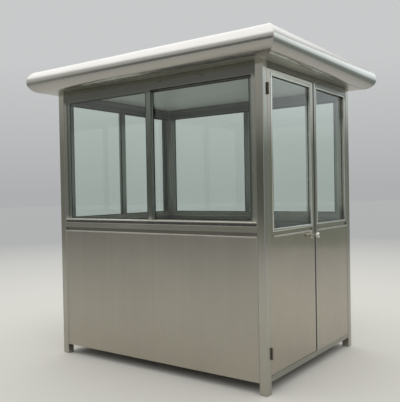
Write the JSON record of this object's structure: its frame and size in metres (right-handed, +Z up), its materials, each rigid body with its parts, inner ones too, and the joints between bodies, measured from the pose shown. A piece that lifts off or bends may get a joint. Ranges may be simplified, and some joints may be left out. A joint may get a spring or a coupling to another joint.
{
  "type": "security guard booth",
  "caption": "Stainless steel security guard booth on four short legs, with sliding windows, a hinged glazed door and a flat roof with a half-round edge.",
  "frame": {"origin": "on the ground below the middle of the booth", "axes": "+X along the long front wall towards the door end, -Y out of the front window wall, +Z up"},
  "size_m": [2.374, 1.874, 2.436],
  "materials": {
    "brushed_stainless": "brushed stainless steel, upright grain",
    "roof_stainless": "brushed stainless steel, rolled",
    "frame_stainless": "brushed stainless steel tube",
    "hardware": "polished",
    "hinge_steel": "dull steel",
    "clear_glass": "clear float glass, slightly green",
    "white_lining": "matt white lining",
    "floor_board": "grey sheet floor",
    "foam_core": "foam"
  },
  "bodies": {
    "booth": {"base_rails": "frame_stainless", "ceiling_panel": "white_lining", "corner_post_back_left": "frame_stainless", "corner_post_back_right": "frame_stainless", "corner_post_front_left": "frame_stainless", "corner_post_front_right": "frame_stainless", "door_hinges_on_post": "hinge_steel", "door_jamb": "frame_stainless", "floor_joists": "frame_stainless", "floor_plate": "floor_board", "head_rails": "frame_stainless", "roof_core": "foam_core", "roof_deck": "roof_stainless", "roof_edge_back": "roof_stainless", "roof_edge_front": "roof_stainless", "roof_edge_left": "roof_stainless", "roof_edge_right": "roof_stainless", "roof_soffit": "roof_stainless", "side_light_frame": "frame_stainless", "side_light_glass": "clear_glass", "sill_rails": "frame_stainless", "wall_panel_back": "brushed_stainless", "wall_panel_beside_door": "brushed_stainless", "wall_panel_front": "brushed_stainless", "wall_panel_left": "brushed_stainless", "window_frame_back": "frame_stainless", "window_frame_front": "frame_stainless", "window_frame_left": "frame_stainless", "window_glass_back": "clear_glass", "window_glass_front": "clear_glass", "window_glass_left": "clear_glass", "window_sash_back_left": "frame_stainless", "window_sash_back_right": "frame_stainless", "window_sash_front_left": "frame_stainless", "window_sash_front_right": "frame_stainless", "window_sash_left_left": "frame_stainless", "window_sash_left_right": "frame_stainless"},
    "door": {"door_leaf": "brushed_stainless", "door_glass_bead": "frame_stainless", "door_glass": "clear_glass", "door_hinges_on_leaf": "hinge_steel", "door_lock_case": "hardware", "door_lock_roses": "hardware"},
    "knobs": {"door_knobs": "hardware"}
  },
  "joints": [
    {"name": "door_swing", "type": "hinge", "parent": "booth", "child": "door", "pos_m": [1.006, -0.6875, 1.155], "axis": [0, 0, -1], "range_deg": [0, 100]},
    {"name": "knob_turn", "type": "hinge", "parent": "door", "child": "knobs", "pos_m": [1, -0.031, 1.023], "axis": [1, 0, 0], "range_deg": [-60, 60], "stiffness_Nm_per_rad": 0.3}
  ]
}
